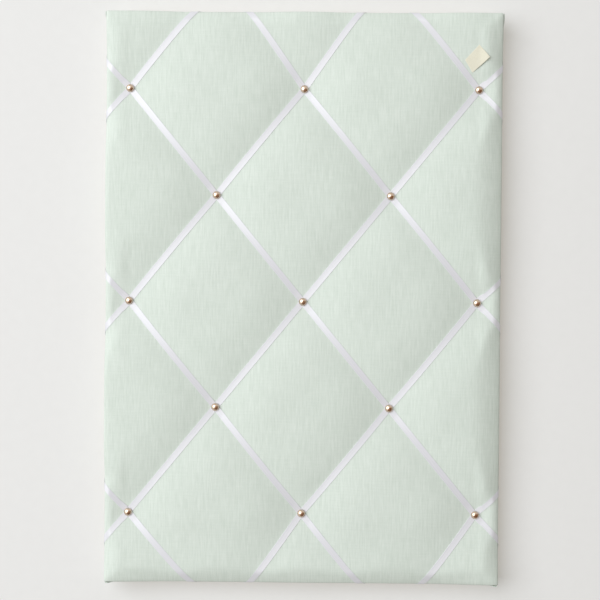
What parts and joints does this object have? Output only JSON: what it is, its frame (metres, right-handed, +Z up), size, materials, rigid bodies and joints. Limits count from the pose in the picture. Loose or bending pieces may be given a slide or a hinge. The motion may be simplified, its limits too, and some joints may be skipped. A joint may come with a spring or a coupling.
{
  "type": "french memo board",
  "caption": "Upright padded linen memo board with a diagonal lattice of narrow ribbons held by domed nails, a card-backed rear and D-ring hangers.",
  "frame": {"origin": "middle of the backing card's outer face, which lies against the wall", "axes": "+X to the viewer's right, +Y out of the back towards the wall, +Z up"},
  "size_m": [0.4516, 0.0325, 0.6516],
  "materials": {
    "softboard": "pressed wood fibre",
    "wadding": "lofty polyester wadding",
    "linen": "plain-woven mint linen",
    "ribbon": "white satin ribbon",
    "bronze": "polished bronze plate",
    "label": "cream woven tape",
    "card": "kraft card",
    "steel": "nickel plate"
  },
  "bodies": {
    "board": {"softboard_core": "softboard", "wadding": "wadding", "linen_cover": "linen", "ribbon_rising_1": "ribbon", "ribbon_rising_2": "ribbon", "ribbon_rising_3": "ribbon", "ribbon_rising_4": "ribbon", "ribbon_rising_5": "ribbon", "ribbon_falling_1": "ribbon", "ribbon_falling_2": "ribbon", "ribbon_falling_3": "ribbon", "ribbon_falling_4": "ribbon", "ribbon_falling_5": "ribbon", "nail_1": "bronze", "nail_2": "bronze", "nail_3": "bronze", "nail_4": "bronze", "nail_5": "bronze", "nail_6": "bronze", "nail_7": "bronze", "nail_8": "bronze", "nail_9": "bronze", "nail_10": "bronze", "nail_11": "bronze", "nail_12": "bronze", "nail_13": "bronze", "woven_label": "label", "backing_card": "card", "hanger_strap_left": "steel", "hanger_strap_right": "steel", "hanger_screw_left": "steel", "hanger_screw_right": "steel"},
    "ring_left": {"hanger_ring_left": "steel"},
    "ring_right": {"hanger_ring_right": "steel"}
  },
  "joints": [
    {"name": "ring_left_swing", "type": "hinge", "parent": "board", "child": "ring_left", "pos_m": [-0.15, 0.00245, 0.22], "axis": [1, 0, 0], "range_deg": [0, 180]},
    {"name": "ring_right_swing", "type": "hinge", "parent": "board", "child": "ring_right", "pos_m": [0.15, 0.00245, 0.22], "axis": [1, 0, 0], "range_deg": [0, 180]}
  ]
}
